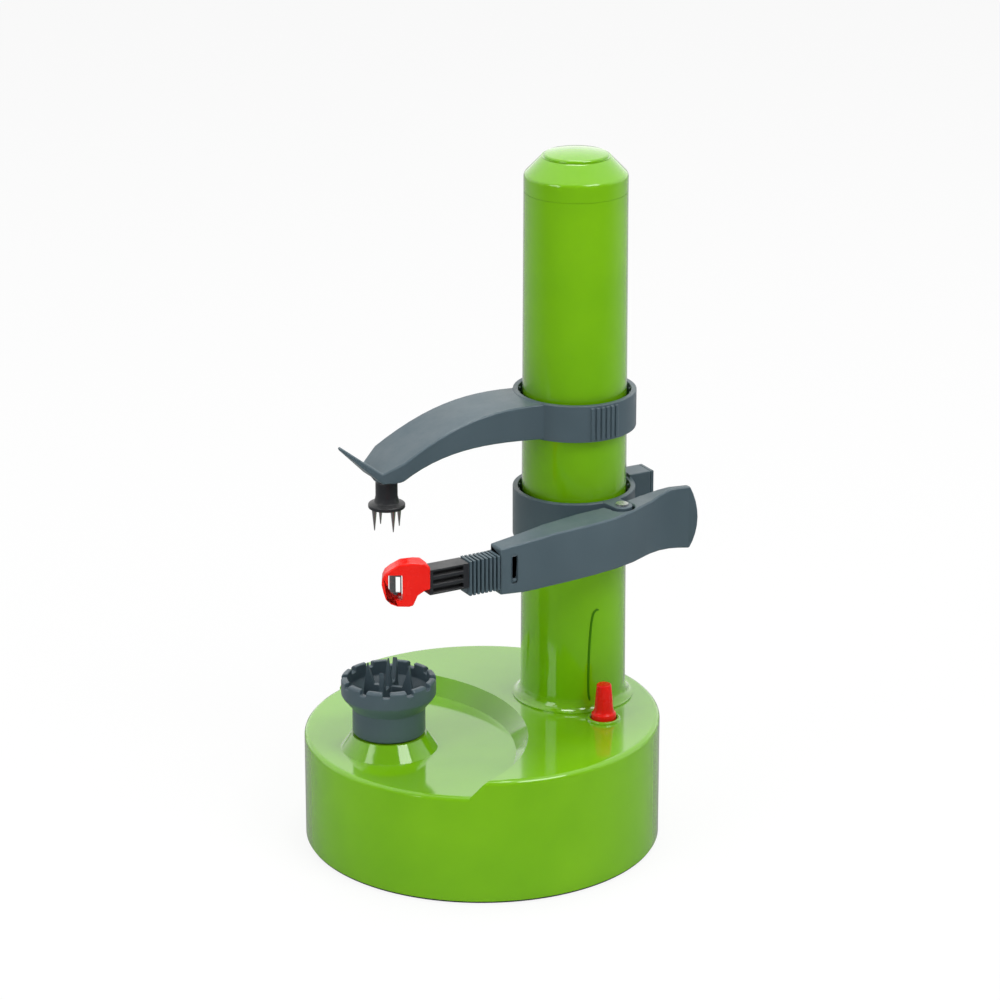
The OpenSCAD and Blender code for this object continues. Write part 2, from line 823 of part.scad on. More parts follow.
module screw_bush_upper() {
    color(brass)
    translate([axis_x, 0, cap_z - plug_h - bush_flange])
        difference() {
            union() {
                cylinder(r = journal_r + running_fit + bush_wall, h = 6 + bush_flange);
                cylinder(r = journal_r + running_fit + bush_wall + bush_flange, h = bush_flange);
            }
            translate([0, 0, -1]) cylinder(r = journal_r + running_fit, h = 20);
        }
}

module column_tube() {
    color(green)
    translate([axis_x, 0, 0])
    difference() {
        union() {
            rotate([0, 0, 120]) rotate_extrude()
                difference() {
                    polygon(concat(
                        [[0, platform_z], [foot_flange_r, platform_z]],
                        [for (a = [0 : foot_blend_step : 90])
                            [foot_flange_r - foot_blend_w * sin(a),
                             platform_z + foot_edge_h + foot_blend_h * (1 - cos(a))]],
                        [[column_top_r, tube_top_z], [0, tube_top_z]]));
                    translate([0, platform_z - 1]) square([column_bore_r, tube_top_z]);
                }
            at_angles(column_boss_angles, column_boss_at)
                translate([0, 0, platform_z]) cylinder(r = column_boss_r, h = column_boss_h);
        }
        at_angles(column_boss_angles, column_boss_at)
            translate([0, 0, platform_z - 1]) cylinder(r = screw_hole_r, h = column_boss_h, $fn = 32);
        translate([0, -slot_w / 2, slot_z]) cube([foot_flange_r + 5, slot_w, slot_top_z - slot_z]);
    }
}

module column_screws() {
    color(steel)
    translate([axis_x, 0, 0])
    difference() {
        at_angles(column_boss_angles, column_boss_at) translate([0, 0, high_ceiling_z]) pan_screw(10);
        at_angles(column_boss_angles, column_boss_at)
            translate([0, 0, high_ceiling_z - screw_head_h]) cross_slot(0.9);
    }
}

module column_cap() {
    bush_hole_r = journal_r + running_fit + bush_wall + slip;
    color(green)
    translate([axis_x, 0, 0])
    difference() {
        rotate_extrude()
            polygon([[0, cap_z - plug_h], [plug_r, cap_z - plug_h], [plug_r, cap_z],
                     [column_top_r, cap_z], [column_top_r, cap_z + cap_h - chamfer_h],
                     [column_top_r - chamfer_w, cap_z + cap_h], [0, cap_z + cap_h]]);
        translate([0, 0, cap_z - plug_h - 1]) cylinder(r = bush_hole_r, h = 7);
        translate([0, 0, cap_z - plug_h + 4]) cylinder(r = journal_r + 1, h = 8);
        translate([0, 0, cap_z + 2]) cylinder(r = disc_r - 3, h = cap_h - 2 - wall);
        translate([0, 0, cap_z + cap_h - 1]) cylinder(r = disc_r + slip, h = 3);
    }
}

module cap_disc() {
    dome_rise = 1.7;
    dome_r = (disc_r * disc_r + dome_rise * dome_rise) / (2 * dome_rise);
    edge_z = cap_z + cap_h - 1 + disc_h;
    color(green)
    translate([axis_x, 0, 0])
        rotate_extrude()
            polygon(concat(
                [[0, cap_z + cap_h - 1], [disc_r, cap_z + cap_h - 1]],
                [for (i = [0 : 8])
                    let (r = disc_r * (1 - i / 8))
                    [r, edge_z + sqrt(dome_r * dome_r - r * r) - dome_r + dome_rise]]));
}

// ---------------------------------------------------------------- Food holder

module holder_cup() {
    notch_w = 3;
    notch_h = 2.2;
    color(slate)
    translate([-axis_x, 0, 0])
    difference() {
        rotate_extrude()
            polygon([[0, cup_z], [cup_r - 0.4, cup_z], [cup_r, cup_z + 1], [cup_r, cup_flare_z],
                     [cup_rim_r - 0.8, cup_rim_z - 1.5], [cup_rim_r, cup_rim_z], [cup_rim_r, cup_top_z - 0.8],
                     [cup_rim_r - 0.8, cup_top_z], [cup_rim_r - cup_wall, cup_top_z],
                     [cup_rim_r - cup_wall, cup_rim_z + 1], [cup_r - cup_wall, cup_flare_z + 1],
                     [cup_r - cup_wall, cup_floor_z], [0, cup_floor_z]]);
        at_angles([for (i = [0 : cup_notches - 1]) 360 * i / cup_notches], cup_rim_r)
            translate([-cup_wall - 1, -notch_w / 2, cup_top_z - notch_h]) cube([cup_wall + 2, notch_w, notch_h + 1]);
        translate([0, 0, cup_z - 1]) cylinder(r = shaft_r, h = cup_floor_z - cup_z - 2, $fn = 6);
    }
}

module cup_prongs() {
    prong_w = 2;
    prong_top_z = cup_top_z + 5;
    color(slate)
    translate([-axis_x, 0, 0]) {
        translate([0, 0, cup_floor_z]) cylinder(r = 3, h = cup_rim_z - cup_floor_z, $fn = 48);
        translate([0, 0, cup_rim_z - eps]) cylinder(r1 = 2.2, r2 = 0.3, h = cup_top_z - cup_rim_z + 8, $fn = 48);
        for (i = [0 : prong_count - 1])
            rotate([0, 0, 45 + 360 * i / prong_count])
                rotate([90, 0, 0]) translate([0, 0, -prong_w / 2]) linear_extrude(height = prong_w)
                    polygon([[0, cup_floor_z], [prong_r + 1.5, cup_floor_z], [prong_r + 1.5, cup_rim_z],
                             [prong_r, prong_top_z], [prong_r - 3, cup_rim_z + 3], [0, cup_rim_z + 3]]);
    }
}

// ---------------------------------------------------------------- Start button

module start_button() {
    color(red)
    translate([button_pos[0], button_pos[1], 0]) {
        rotate_extrude()
            polygon([[0, collar_low_z], [button_r, collar_low_z], [button_r, collar_low_z + collar_h - 0.6],
                     [button_r - 0.6, collar_low_z + collar_h], [button_cone_r, collar_low_z + collar_h],
                     [button_tip_r, button_top_z - 0.8], [button_tip_r - 0.8, button_top_z], [0, button_top_z]]);
        translate([0, 0, stem_low_z]) cylinder(r = stem_r, h = collar_low_z - stem_low_z + eps, $fn = 48);
    }
}

module button_spring() {
    color(steel)
    translate([button_pos[0], button_pos[1], well_floor_z])
        coil_spring(spring_r, spring_wire_r, collar_low_z - well_floor_z, 4);
}

module button_clip() {
    color(steel)
    translate([button_pos[0], button_pos[1], well_floor_z - well_floor_h - clip_h])
        tube(stem_r + 1.6, stem_r, clip_h, $fn = 48);
}

// ---------------------------------------------------------------- Upper arm

module ring_with_ribs(z, h) {
    translate([axis_x, 0, z]) {
        rotate([0, 0, 90]) tube(ring_r, ring_bore_r, h);
        for (i = [1 : guide_ribs - 2])
            rotate([0, 0, 360 * (i + 0.5) / guide_ribs])
                translate([ring_bore_r - guide_rib_h, -guide_rib_w / 2, guide_rib_lead])
                    cube([guide_rib_h + 0.5, guide_rib_w, h - 2 * guide_rib_lead]);
    }
}

// Side view of the arm, with the pointed lip at its tip
module arm_outline() {
    polygon(concat(
        curve(arm_top_a, arm_top_b, arm_top_c, arm_top_d),
        [lip_end + [lip_t / 2, lip_t], lip_end, lip_root],
        curve(arm_low_a, arm_low_b, arm_low_c, arm_low_d)));
}

// Top view of one half of the arm, mirrored for the other half
module arm_plan() {
    half = [[30, arm_w / 2], [taper_x[0], arm_w / 2], [taper_x[1], taper_half_w[0]], [lip_end[0], taper_half_w[1]]];
    polygon(concat(half, [for (i = [len(half) - 1 : -1 : 0]) [half[i][0], -half[i][1]]]));
}

module arm_channel_outline() {
    drop = [0, -arm_skin];
    low = [0, -30];
    polygon(concat(
        curve([14, arm_top_a[1] + 0.6] + drop, arm_top_b + drop, arm_top_c + drop, arm_top_d + drop + [4, 0]),
        [arm_top_d + low, [14, arm_ring_z] + low]));
}

module along_arm(w) {
    translate([0, w / 2, 0]) rotate([90, 0, 0]) linear_extrude(height = w) children();
}

module top_arm() {
    color(slate)
    difference() {
        union() {
            ring_with_ribs(arm_ring_z, arm_ring_h);
            difference() {
                intersection() {
                    along_arm(arm_w + 2) arm_outline();
                    translate([0, 0, arm_ring_z - 20]) linear_extrude(height = 60) arm_plan();
                }
                translate([axis_x, 0, arm_ring_z - 20]) rotate([0, 0, 90]) cylinder(r = ring_r - 1, h = 60);
                along_arm(arm_w - 2 * arm_skin) arm_channel_outline();
            }
            translate([-axis_x, 0, hub_top_z + body_gap])
                cylinder(r = spindle_boss_r, h = pin_top_z - hub_top_z + 0.6);
            translate([axis_x, 0, arm_ring_z + 1])
                at_angles(grip_rib_angles, ring_r)
                    translate([-1, -0.7, 0]) cube([1 + grip_rib_h, 1.4, arm_ring_h - 2]);
        }
        translate([-axis_x, 0, arm_ring_z - 20]) cylinder(r = spindle_pin_r, h = pin_top_z - arm_ring_z + 20);
        translate([axis_x + ring_bore_r - 1, -key_w / 2 - slip, key_z - slip])
            cube([1.4, key_w + 2 * slip, key_h + 2 * slip]);
        for (z = [key_z + 2.5, key_z + key_h - 2.5])
            translate([axis_x + ring_bore_r - 1, 0, z]) rotate([0, 90, 0]) cylinder(r = screw_hole_r, h = 10, $fn = 32);
    }
}

module arm_key() {
    stem_x = key_head_x + key_head_t;
    color(slate)
    difference() {
        union() {
            translate([key_head_x, -key_head_w / 2, key_z]) cube([key_head_t, key_head_w, key_h]);
            translate([stem_x - eps, -key_w / 2, key_z])
                cube([axis_x + ring_bore_r + 0.4 - stem_x, key_w, key_h]);
        }
        for (z = [key_z + 2.5, key_z + key_h - 2.5])
            translate([key_head_x + 1, 0, z]) rotate([0, 90, 0]) cylinder(r = screw_hole_r, h = 10, $fn = 32);
    }
}

module arm_key_screws() {
    color(steel)
    for (z = [key_z + 2.5, key_z + key_h - 2.5])
        difference() {
            translate([axis_x + ring_r, 0, z]) rotate([0, -90, 0]) pan_screw(7);
            translate([axis_x + ring_r + screw_head_h, 0, z]) rotate([0, 90, 0]) cross_slot(0.9);
        }
}

// ---------------------------------------------------------------- Spindle

module spindle_pin() {
    color(steel)
    translate([-axis_x, 0, 0]) {
        translate([0, 0, hub_low_z + 2]) cylinder(r = spindle_pin_r, h = pin_top_z - hub_low_z - 2);
        translate([0, 0, hub_low_z + 0.4]) cylinder(r = pin_head_r, h = pin_head_h);
    }
}

module spindle_hub() {
    color(charcoal)
    translate([-axis_x, 0, 0])
    difference() {
        rotate_extrude()
            polygon([[0, hub_low_z], [spindle_plate_r, hub_low_z], [spindle_plate_r, hub_low_z + spindle_plate_h],
                     [hub_r + 0.6, hub_low_z + spindle_plate_h + 0.8], [hub_r, hub_low_z + 5],
                     [hub_r, hub_top_z - 0.5], [hub_r - 0.5, hub_top_z], [0, hub_top_z]]);
        translate([0, 0, hub_low_z - 1]) cylinder(r = spindle_pin_r + running_fit, h = 20);
        translate([0, 0, hub_low_z - 1]) cylinder(r = pin_head_r + body_gap, h = 3 + pin_head_h - 1.5);
    }
}

module spindle_prongs() {
    color(steel)
    translate([-axis_x, 0, hub_low_z - spindle_prong_l])
        at_angles([for (i = [0 : prong_count - 1]) 360 * i / prong_count], spindle_prong_at)
            cylinder(r1 = 0.2, r2 = 1.1, h = spindle_prong_l, $fn = 32);
}

// ---------------------------------------------------------------- Blade carriage

// Round head of a lug, over the pivot pin
module lug_head(extra) {
    translate(pivot) circle(r = lug_r + extra);
}

// Tongue from the ring out to the head
module lug_tongue(extra) {
    reach = norm(pivot - [axis_x, 0]);
    heading = atan2(pivot[1], pivot[0] - axis_x);
    translate([axis_x, 0]) rotate([0, 0, heading])
        translate([ring_bore_r + 1, -lug_r - extra]) square([reach - ring_bore_r - 1, 2 * (lug_r + extra)]);
}

// Space that the tongue sweeps while the lever swings to both sides
module tongue_sweep(extra) {
    reach = norm(pivot - [axis_x, 0]) - ring_bore_r - 1;
    heading = atan2(-pivot[1], axis_x - pivot[0]);
    near_w = (lug_r + extra) / cos(lever_swing);
    far_w = near_w + reach * tan(lever_swing);
    translate(pivot) rotate([0, 0, heading])
        polygon([[0, -near_w], [reach, -far_w], [reach, far_w], [0, near_w]]);
}

module both_lugs(extra) {
    for (z = [carriage_top_z - lug_h, carriage_z - 2.2])
        translate([0, 0, z - extra]) linear_extrude(height = lug_h + 2 * extra) children();
}

module carriage() {
    pocket_w = nut_stem_w + 0.8;
    color(slate)
    difference() {
        union() {
            difference() {
                ring_with_ribs(carriage_z, carriage_h);
                translate([axis_x + column_r - 2, -slot_w / 2, carriage_z - 1]) cube([ring_gap + 2, slot_w, carriage_h + 2]);
            }
            difference() {
                both_lugs(0) {
                    lug_head(0);
                    lug_tongue(0);
                }
                translate([axis_x, 0, carriage_z - 5]) rotate([0, 0, 90])
                    cylinder(r = ring_bore_r + 0.5, h = carriage_h + 10);
            }
            difference() {
                translate([housing_x, -housing_w / 2, housing_z])
                    cube([housing_end_x - housing_x, housing_w, housing_top_z - housing_z]);
                translate([axis_x, 0, carriage_z - 5]) rotate([0, 0, 90])
                    cylinder(r = ring_bore_r + 1, h = carriage_h + 10);
            }
        }
        translate([axis_x + column_r - 1, -pocket_w / 2, nut_z - 0.4])
            cube([housing_end_x - axis_x - column_r + 2, pocket_w, nut_h + 0.8]);
        translate([pivot[0], pivot[1], carriage_z - 10]) cylinder(r = pin_r, h = carriage_h + 20, $fn = 48);
    }
}

module half_nut() {
    color(brass)
    difference() {
        union() {
            intersection() {
                translate([axis_x, 0, nut_z]) cylinder(r = nut_r, h = nut_h);
                translate([axis_x, -nut_r, nut_z]) cube([nut_r, 2 * nut_r, nut_h]);
            }
            translate([axis_x + screw_r, -nut_stem_w / 2, nut_z]) cube([nut_end_x - axis_x - screw_r, nut_stem_w, nut_h]);
        }
        translate([axis_x, 0, nut_z - 1]) cylinder(r = nut_bore_r, h = nut_h + 2);
    }
}

module nut_spring() {
    color(steel)
    translate([nut_end_x, 0, nut_z + nut_h / 2]) rotate([0, 90, 0])
        coil_spring(2.4, 0.35, housing_end_x - nut_end_x, 4);
}

module nut_cover() {
    color(slate)
    translate([housing_end_x, -housing_w / 2, housing_z])
        cube([nut_cover_t, housing_w, housing_top_z - housing_z]);
}

// ---------------------------------------------------------------- Lever

module lever_plan() {
    polygon(concat(lever_outer, lever_inner));
}

module lever_side() {
    polygon(concat(
        lever_side_low,
        arc(lever_tail_r, -lever_tail_turn, lever_tail_turn, 8, lever_tail_centre),
        lever_side_top));
}

module around_pivot(angle) {
    translate(pivot) rotate([0, 0, angle]) translate(-pivot) children();
}

module peel_lever() {
    z_mid = neck_z + neck_h / 2;
    socket_h = neck_h - 1.6;
    knuckle_low_z = lever_low_z + lug_h + lug_gap;
    color(slate)
    union() {
    difference() {
        intersection() {
            translate([0, 0, lever_low_z - 5]) linear_extrude(height = 40) lever_plan();
            translate([0, 0, 0]) rotate([90, 0, 0]) linear_extrude(height = 100) lever_side();
        }
        for (swing = [-lever_swing : swing_step : lever_swing])
            around_pivot(-swing) translate([axis_x, 0, lever_low_z - 5]) cylinder(r = ring_r + 0.9, h = 40);
        both_lugs(lug_gap) {
            lug_head(lug_gap + head_extra);
            tongue_sweep(lug_gap);
        }
        translate([pivot[0], pivot[1], lever_low_z - 5]) cylinder(r = pin_r + running_fit, h = 40, $fn = 48);
        translate([pivot[0], pivot[1], knuckle_low_z + 2.5]) cylinder(r = 3.4, h = 40, $fn = 48);
        translate([neck_x - 1, neck_y - neck_core_w / 2 - slip, z_mid - socket_h / 2 - slip])
            cube([socket_l + 1 + slip, neck_core_w + 2 * slip, socket_h + 2 * slip]);
        translate([window_x, -60, z_mid - window_h / 2]) cube([window_w, 60 + neck_y, window_h]);
        translate([1, -41.5, lever_low_z + lever_wall + 0.6]) cube([24, 30, 16.5]);
    }
    translate([neck_x - tab_l, neck_y + neck_w / 2 + slip, z_mid + 1]) cube([tab_l + 2, 1.6, 5.5]);
    }
}

module lever_pin() {
    color(steel)
    translate([pivot[0], pivot[1], carriage_z - 2.2]) {
        cylinder(r = pin_r, h = carriage_h + 2.2, $fn = 48);
        translate([0, 0, carriage_h + 2.2 - eps]) cylinder(r = pin_r + 1, h = 0.8, $fn = 48);
    }
}

module lever_spring() {
    knuckle_low_z = lever_low_z + lug_h + lug_gap;
    color(steel)
    translate([pivot[0], pivot[1], knuckle_low_z + 2.5])
        coil_spring(2.5, 0.35, carriage_top_z - lug_h - knuckle_low_z - 2.5, 9);
}

// ---------------------------------------------------------------- Blade cartridge

module blade_neck() {
    rib_pitch = neck_l / neck_ribs;
    z_mid = neck_z + neck_h / 2;
    latch_w = window_w - 0.4;
    color(slate) {
        difference() {
            translate([neck_x - neck_l, neck_y - neck_core_w / 2, z_mid - (neck_h - 1.6) / 2])
                cube([neck_l + socket_l, neck_core_w, neck_h - 1.6]);
            translate([window_x + 0.2, neck_y - neck_core_w, z_mid - window_h / 2 + latch_base_h + 0.6])
                cube([latch_w, neck_core_w / 2 + catch_depth, window_h - latch_base_h - 0.9]);
        }
        for (i = [0 : neck_ribs - 1])
            translate([neck_x - (i + 0.85) * rib_pitch, neck_y - neck_w / 2, neck_z])
                cube([rib_pitch * 0.6, neck_w, neck_h]);
        translate([window_x + 0.2, neck_y - latch_h, z_mid - window_h / 2 + 0.3]) cube([latch_w, latch_h, latch_base_h]);
    }
}

module louvre_block() {
    slat_pitch = louvre_h / louvre_count;
    color(charcoal)
    difference() {
        translate([louvre_x - louvre_l, neck_y - louvre_w / 2, louvre_z]) cube([louvre_l, louvre_w, louvre_h]);
        for (i = [0 : louvre_count - 1])
            translate([louvre_x - louvre_l + 1.5, neck_y - louvre_w / 2 - eps, louvre_z + i * slat_pitch + 0.8])
                cube([louvre_l - 4, louvre_depth, slat_pitch - 1.6]);
    }
}

module at_holder() {
    translate([holder_x, neck_y, holder_z]) rotate([0, 0, holder_turn]) children();
}

// Outline of the blade holder, with its claw to the left and its toe below
module holder_outline() {
    left = -holder_l;
    polygon([
        [3, 9.5], [0, 8.8], [-3, 6.6], [-4.8, 2.4], [-6.4, 1.9], [-11, 2], [-13.6, 3], [-15.6, 5],
        [left + 0.7, 8], [left, 11.2], [left + 0.2, 13.4], [left + 1.2, 15.6], [left + 3.4, 17.4],
        [-10, holder_h - 0.6], [-5, holder_h], [0, holder_h - 0.3], [3, holder_h - 2]
    ]);
}

module blade_holder() {
    color(red)
    difference() {
        at_holder()
            difference() {
                translate([0, holder_w / 2, 0]) rotate([90, 0, 0]) linear_extrude(height = holder_w) holder_outline();
                translate([-holder_l + claw_w, -10, holder_bar])
                    cube([blade_window_w, 20, blade_window_h]);
                for (z = [holder_bar - 1.5, holder_bar + blade_window_h])
                    translate([blade_x, 0, z]) cylinder(r = blade_pin_r + running_fit, h = 1.5, $fn = 32);
            }
        translate([holder_x, neck_y - 20, neck_z - 20]) cube([20, 40, 60]);
    }
}

module peel_blade() {
    blade_h = blade_window_h - 1;
    color(steel)
    at_holder()
        translate([blade_x, 0, holder_bar + 0.5]) {
            difference() {
                intersection() {
                    translate([0, -blade_curve_r + 1.2, 0]) tube(blade_curve_r, blade_curve_r - blade_t, blade_h);
                    translate([-blade_w / 2, -1.2, 0]) cube([blade_w, 5, blade_h]);
                }
                translate([-blade_slot_w / 2 + 1, -5, 1.5]) cube([blade_slot_w, 10, blade_h - 3]);
            }
            for (z = [-1.7, blade_h - 0.8])
                translate([0, 0, z]) cylinder(r = blade_pin_r, h = 2.5, $fn = 32);
        }
}

base_shell();
bottom_cover();
battery_door();
feet();
cover_screws();
batteries();
battery_contacts();
dc_jack();
wires();
power_switch();
gear_plate();
gear_plate_screws();
gear_axles();
motor();
motor_pinion();
idler_gear();
center_gear();
screw_gear();
holder_gear();
lead_screw();
screw_bush_lower();
screw_bush_upper();
holder_bush();
column_tube();
column_screws();
column_cap();
cap_disc();
holder_cup();
cup_prongs();
start_button();
button_spring();
button_clip();
top_arm();
arm_key();
arm_key_screws();
spindle_pin();
spindle_hub();
spindle_prongs();
carriage();
half_nut();
nut_spring();
nut_cover();
peel_lever();
lever_pin();
lever_spring();
blade_neck();
louvre_block();
blade_holder();
peel_blade();
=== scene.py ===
# %% [markdown]
# # An electric peeler, dressed piece by piece
# The looks are then laid over that frame, in metres, so that nothing has to be fitted by eye. Every colour is
# written as the red, green and blue of linear light, because that is what Blender's shaders work in.

# %% The frame and its box
import json
import bmesh
import bpy
import numpy as np
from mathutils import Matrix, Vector


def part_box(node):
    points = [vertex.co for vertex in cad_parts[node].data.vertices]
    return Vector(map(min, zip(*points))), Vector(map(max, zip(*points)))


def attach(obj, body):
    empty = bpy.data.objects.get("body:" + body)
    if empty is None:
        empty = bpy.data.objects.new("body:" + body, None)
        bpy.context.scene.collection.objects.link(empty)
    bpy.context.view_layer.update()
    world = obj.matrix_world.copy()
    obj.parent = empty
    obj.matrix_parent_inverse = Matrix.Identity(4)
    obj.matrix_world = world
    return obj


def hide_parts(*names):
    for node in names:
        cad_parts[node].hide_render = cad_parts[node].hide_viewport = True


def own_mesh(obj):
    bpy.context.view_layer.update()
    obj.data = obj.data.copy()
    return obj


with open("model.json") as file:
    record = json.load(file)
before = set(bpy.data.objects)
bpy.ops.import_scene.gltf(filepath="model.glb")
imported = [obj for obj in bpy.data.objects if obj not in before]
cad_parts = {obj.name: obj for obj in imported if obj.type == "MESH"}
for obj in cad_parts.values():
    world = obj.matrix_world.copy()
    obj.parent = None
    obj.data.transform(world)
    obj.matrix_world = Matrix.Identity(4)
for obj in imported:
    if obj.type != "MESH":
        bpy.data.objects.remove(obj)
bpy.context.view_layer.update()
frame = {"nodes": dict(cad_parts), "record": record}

NODES = frame["nodes"]
MM = 0.001

# %% [markdown]
# ## The camera
# A long lens from about a metre and a half away flattens the column, as a product picture does. It stands a
# little to the left of the front and looks down by some twenty degrees. Depth of field stays off, so every edge
# is as sharp from any other side.

# %% Camera
EYE = Vector((-0.7059, -1.2996, 0.6745))
AIM = Vector((0.0066, -0.0036, 0.1470))

lens = bpy.data.cameras.new("studio_camera")
lens.lens = 138.4
lens.sensor_width = 36
lens.clip_start = 0.05
camera = bpy.data.objects.new("studio_camera", lens)
camera.location = EYE
camera.rotation_euler = (AIM - EYE).to_track_quat("-Z", "Y").to_euler()
bpy.context.scene.collection.objects.link(camera)
bpy.context.scene.camera = camera
print("camera distance:", round((AIM - EYE).length, 3))

# %% [markdown]
# ## Floor, backdrop and light
# The floor is one big pale sheet. It takes the soft shadow of the feet, and it is white to the camera because most
# of what the camera sees there is a plain white glow. Behind it the world is white too. Reflections find another
# room: dim in front of the peeler and pale behind it. So upright glossy walls keep their depth of colour, while
# faces that look up turn pale towards the back. The lamps are wide squares, which give broad soft bands of light
# and no hard spots.

# %% Stage
scene = bpy.context.scene
scene.view_settings.view_transform = "Standard"
BACKWARDS = ((AIM - EYE) * Vector((1, 1, 0))).normalized() + Vector((0, 0, 0.5))
GLOW_SHARE = 0.88


def new_material(name):
    """A material with an empty node tree, ready for its own shader."""
    mat = bpy.data.materials.new(name)
    mat.use_nodes = True
    mat.node_tree.nodes.clear()
    return mat


def add(tree, kind, **settings):
    """A node of that kind in the tree, with its settings given by name."""
    node = tree.nodes.new(kind)
    for key, value in settings.items():
        setattr(node, key, value)
    return node


def put(tree, socket, value):
    """Links the socket to the value where that is another node's output, and sets it where it is a constant."""
    if isinstance(value, bpy.types.NodeSocket):
        tree.links.new(value, socket)
    else:
        socket.default_value = value


def maths(tree, operation, *values, clamp=False):
    """One Math node, whose inputs are the values in turn."""
    node = add(tree, "ShaderNodeMath", operation=operation, use_clamp=clamp)
    for socket, value in zip(node.inputs, values):
        put(tree, socket, value)
    return node.outputs[0]


def ray_kinds(tree):
    """Two sockets: 1 where the camera looks, straight or through glass, and 1 where a reflection looks."""
    path = add(tree, "ShaderNodeLightPath")
    seen = maths(tree, "ADD", path.outputs["Is Camera Ray"], path.outputs["Is Transmission Ray"])
    return seen, path.outputs["Is Glossy Ray"]


def room_in_reflections(tree, vector, span, dark, bright):
    """Level = dark to bright, as the vector's share along BACKWARDS goes smoothly from -span to span."""
    along = add(tree, "ShaderNodeVectorMath", operation="DOT_PRODUCT")
    tree.links.new(vector, along.inputs[0])
    along.inputs[1].default_value = BACKWARDS
    ramp = add(tree, "ShaderNodeMapRange", interpolation_type="SMOOTHSTEP")
    for label, value in (("From Min", -span), ("From Max", span), ("To Min", dark), ("To Max", bright),
                         ("Value", along.outputs["Value"])):
        put(tree, ramp.inputs[label], value)
    return ramp.outputs[0]


def pale_floor_material():
    """Share of glow = GLOW_SHARE to the camera and 1 in reflections. The rest is matt white, lit by the lamps."""
    mat = new_material("pale_floor")
    tree = mat.node_tree
    out = add(tree, "ShaderNodeOutputMaterial")
    matt = add(tree, "ShaderNodeBsdfDiffuse")
    matt.inputs["Color"].default_value = (0.9, 0.9, 0.9, 1)
    glow = add(tree, "ShaderNodeEmission")
    mix = add(tree, "ShaderNodeMixShader")
    seen, mirrored = ray_kinds(tree)
    place = add(tree, "ShaderNodeNewGeometry").outputs["Position"]
    level = room_in_reflections(tree, place, 0.5, 0.1, 0.5)
    tree.links.new(maths(tree, "MULTIPLY_ADD", mirrored, level, seen), glow.inputs["Strength"])
    tree.links.new(maths(tree, "MULTIPLY_ADD", seen, GLOW_SHARE, mirrored), mix.inputs["Fac"])
    tree.links.new(matt.outputs[0], mix.inputs[1])
    tree.links.new(glow.outputs[0], mix.inputs[2])
    tree.links.new(mix.outputs[0], out.inputs["Surface"])
    return mat


def stage_floor(half=6.0):
    """One square, from -half to half in x and y, at the height on which the feet stand."""
    x = np.array([-half, half, half, -half])
    y = np.array([-half, -half, half, half])
    mesh = bpy.data.meshes.new("floor")
    mesh.from_pydata(np.stack([x, y, np.zeros(4)], 1).tolist(), [], [(0, 1, 2, 3)])
    floor = bpy.data.objects.new("floor", mesh)
    scene.collection.objects.link(floor)
    mesh.materials.append(pale_floor_material())
    return floor


def studio_world(fill=0.34):
    """Strength = 1 to the camera + the room's level in reflections + an even grey fill to every other ray."""
    world = bpy.data.worlds.new("studio")
    world.use_nodes = True
    scene.world = world
    tree = world.node_tree
    back = tree.nodes["Background"]
    back.inputs["Color"].default_value = (1, 1, 1, 1)
    seen, mirrored = ray_kinds(tree)
    way = add(tree, "ShaderNodeTexCoord").outputs["Generated"]
    level = room_in_reflections(tree, way, 0.35, 0.1, 1.25)
    looks = maths(tree, "ADD", seen, mirrored)
    lights = maths(tree, "MULTIPLY", maths(tree, "SUBTRACT", 1.0, looks), fill)
    shown = maths(tree, "MULTIPLY_ADD", mirrored, level, seen)
    tree.links.new(maths(tree, "ADD", shown, lights), back.inputs["Strength"])


def soft_lamp(name, place, aim, size, power):
    """A square lamp, `size` wide, that looks from one point towards another and that the camera doesn't see."""
    light = bpy.data.lights.new(name, "AREA")
    light.size = size
    light.energy = power
    lamp = bpy.data.objects.new(name, light)
    lamp.location = place
    lamp.rotation_euler = (Vector(aim) - Vector(place)).to_track_quat("-Z", "Y").to_euler()
    lamp.visible_camera = False
    scene.collection.objects.link(lamp)


stage_floor()
studio_world()
soft_lamp("key_lamp", (0.35, -1.15, 1.5), (0, 0, 0.14), 0.8, 14)
soft_lamp("left_lamp", (-1.5, -0.3, 0.9), (0, 0, 0.14), 0.7, 6)
soft_lamp("top_lamp", (0.1, 0.1, 1.9), (0, 0, 0.1), 0.8, 18.5)
print("stage: floor, world and three lamps")

# %% [markdown]
# ## What moulded plastic looks like
# A moulded part is never one flat colour. It has a very fine skin from the steel of its mould, a slow drift of
# shade where the plastic flowed and cooled, and a haze of handling that changes how sharp its gloss is. One node
# group makes all three, so that each plastic needs only its own numbers. Dust is a second group: it settles
# where a face looks up. The third group draws the fine lines of drawn and brushed metal.

# %% Shader groups
def shader_group(name, inputs, outputs):
    """A node group with named sockets. Inputs are (name, kind, value), outputs are (name, kind)."""
    group = bpy.data.node_groups.new(name, "ShaderNodeTree")
    for label, kind, value in inputs:
        socket = group.interface.new_socket(label, in_out="INPUT", socket_type="NodeSocket" + kind)
        socket.default_value = value
    for label, kind in outputs:
        group.interface.new_socket(label, in_out="OUTPUT", socket_type="NodeSocket" + kind)
    return group, add(group, "NodeGroupInput"), add(group, "NodeGroupOutput")


def noise(tree, coords, scale, detail=3.0, rough=0.55):
    """Smooth noise over object space. The scale is in cells to the metre."""
    node = add(tree, "ShaderNodeTexNoise")
    for label, value in (("Vector", coords), ("Scale", scale), ("Detail", detail), ("Roughness", rough)):
        put(tree, node.inputs[label], value)
    return node.outputs["Fac"]


